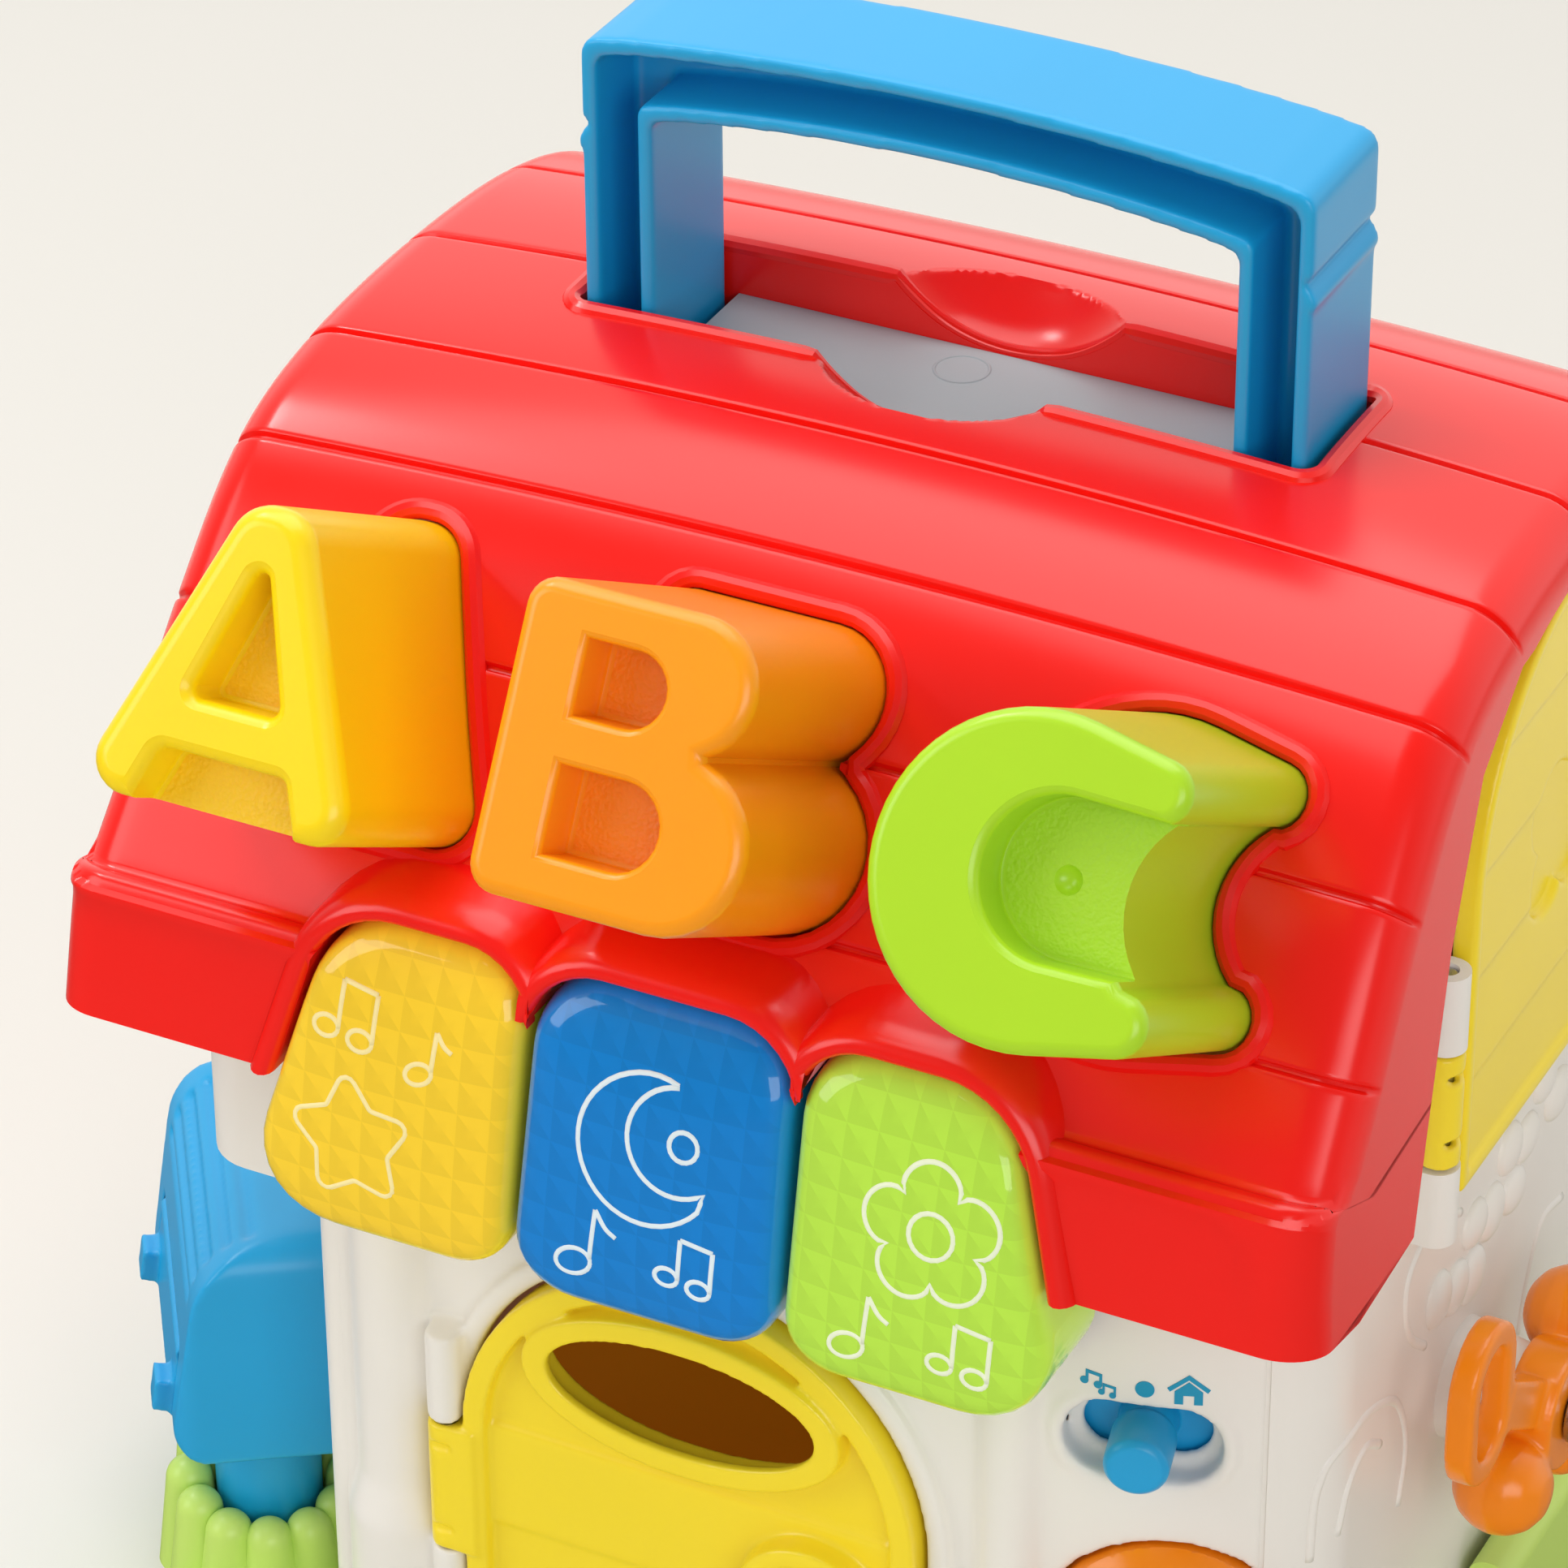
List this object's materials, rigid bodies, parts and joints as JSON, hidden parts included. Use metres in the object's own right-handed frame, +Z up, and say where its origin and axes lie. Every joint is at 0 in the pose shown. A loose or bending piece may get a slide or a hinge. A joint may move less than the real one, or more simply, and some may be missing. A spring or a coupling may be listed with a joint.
{
  "type": "shape sorter house",
  "caption": "Toy house with a plank roof, letter blocks in shaped holes, press keys, pull-up carrying handle, hinged doors, switch, bell button, mailbox and spinner.",
  "frame": {"origin": "on the floor, below the middle of the roof ridge", "axes": "+Z up, -Y towards the front door, +X towards the gable door"},
  "size_m": [0.2503, 0.2334, 0.2718],
  "materials": {
    "red_plastic": "smooth gloss",
    "blue_plastic": "smooth gloss",
    "grey_plastic": "fine matt",
    "yellow_block": "smooth gloss",
    "orange_block": "smooth gloss",
    "green_block": "smooth gloss",
    "yellow_key": "see-through gloss with pressed facets",
    "blue_key": "see-through gloss with pressed facets",
    "green_key": "see-through gloss with pressed facets",
    "white_plastic": "satin",
    "yellow_door": "satin",
    "orange_plastic": "smooth gloss",
    "lawn_plastic": "satin",
    "white_rubber": "matt silicone",
    "board": "lacquered board",
    "lamp_plastic": "clear lamp",
    "black_plastic": "matt",
    "steel": "bright wire",
    "cone_paper": "pressed paper",
    "cell_wrap": "printed wrap"
  },
  "bodies": {
    "house": {"roof_shell": "red_plastic", "handle_tray": "grey_plastic", "key_pad": "white_rubber", "circuit_board": "board", "key_lamps": "lamp_plastic", "front_wall": "white_plastic", "rear_shell": "white_plastic", "lawn_base": "lawn_plastic", "bottom_plate": "white_plastic", "door_pin": "steel", "gable_pin": "steel", "switch_unit": "black_plastic", "bell_contact": "black_plastic", "mailbox": "blue_plastic", "mailbox_pin": "steel", "mailbox_post": "blue_plastic", "spinner_axle": "steel", "speaker": "black_plastic", "speaker_cone": "cone_paper", "battery_box": "white_plastic", "battery_cells": "cell_wrap", "battery_contacts": "steel", "battery_door": "white_plastic", "battery_screw": "steel", "tray_screws": "steel", "base_screws": "steel", "inner_floor": "white_plastic"},
    "handle": {"handle": "blue_plastic"},
    "letter_a": {"letter_a": "yellow_block"},
    "letter_b": {"letter_b": "orange_block"},
    "letter_c": {"letter_c": "green_block"},
    "key_left": {"key_left": "yellow_key"},
    "key_middle": {"key_middle": "blue_key"},
    "key_right": {"key_right": "green_key"},
    "front_door": {"front_door": "yellow_door"},
    "door_latch": {"door_latch": "yellow_door"},
    "gable_door": {"gable_door": "yellow_door"},
    "switch_slider": {"switch_slider": "blue_plastic"},
    "bell_button": {"bell_button": "orange_plastic"},
    "mailbox_flap": {"mailbox_flap": "blue_plastic"},
    "spinner": {"spinner": "orange_plastic"}
  },
  "joints": [
    {"name": "handle_slide", "type": "slide", "parent": "house", "child": "handle", "axis": [0, 0, 1], "range_m": [-0.04, 0]},
    {"name": "letter_a_slide", "type": "slide", "parent": "house", "child": "letter_a", "axis": [0, -0.866, 0.5], "range_m": [-0.03, 0.02]},
    {"name": "letter_b_slide", "type": "slide", "parent": "house", "child": "letter_b", "axis": [0, -0.866, 0.5], "range_m": [-0.03, 0.02]},
    {"name": "letter_c_slide", "type": "slide", "parent": "house", "child": "letter_c", "axis": [0, -0.866, 0.5], "range_m": [-0.03, 0.02]},
    {"name": "key_left_press", "type": "slide", "parent": "house", "child": "key_left", "axis": [0, 1, 0], "range_m": [0, 0.0025], "stiffness_N_per_m": 400},
    {"name": "key_middle_press", "type": "slide", "parent": "house", "child": "key_middle", "axis": [0, 1, 0], "range_m": [0, 0.0025], "stiffness_N_per_m": 400},
    {"name": "key_right_press", "type": "slide", "parent": "house", "child": "key_right", "axis": [0, 1, 0], "range_m": [0, 0.0025], "stiffness_N_per_m": 400},
    {"name": "front_door_hinge", "type": "hinge", "parent": "house", "child": "front_door", "pos_m": [-0.0448, -0.0932, 0.056], "axis": [0, 0, 1], "range_deg": [-115, 0]},
    {"name": "door_latch_turn", "type": "hinge", "parent": "front_door", "child": "door_latch", "pos_m": [0.02, -0.09, 0.0545], "axis": [0, 1, 0], "range_deg": [0, 90]},
    {"name": "gable_door_hinge", "type": "hinge", "parent": "house", "child": "gable_door", "pos_m": [0.0984, -0.0436, 0.141], "axis": [0, 0, 1], "range_deg": [-110, 0]},
    {"name": "switch_slide", "type": "slide", "parent": "house", "child": "switch_slider", "axis": [0.9681, 0.2504, 0], "range_m": [-0.004, 0.004]},
    {"name": "bell_press", "type": "slide", "parent": "house", "child": "bell_button", "axis": [-0.3256, 0.9455, 0], "range_m": [0, 0.0025], "stiffness_N_per_m": 400},
    {"name": "mailbox_flap_hinge", "type": "hinge", "parent": "house", "child": "mailbox_flap", "pos_m": [-0.11474, -0.06073, 0.05061], "axis": [-0.5664, 0.8241, 0], "range_deg": [0, 80]},
    {"name": "spinner_turn", "type": "hinge", "parent": "house", "child": "spinner", "pos_m": [0.111, -0.0228, 0.0758], "axis": [1, 0, 0], "continuous": true}
  ]
}
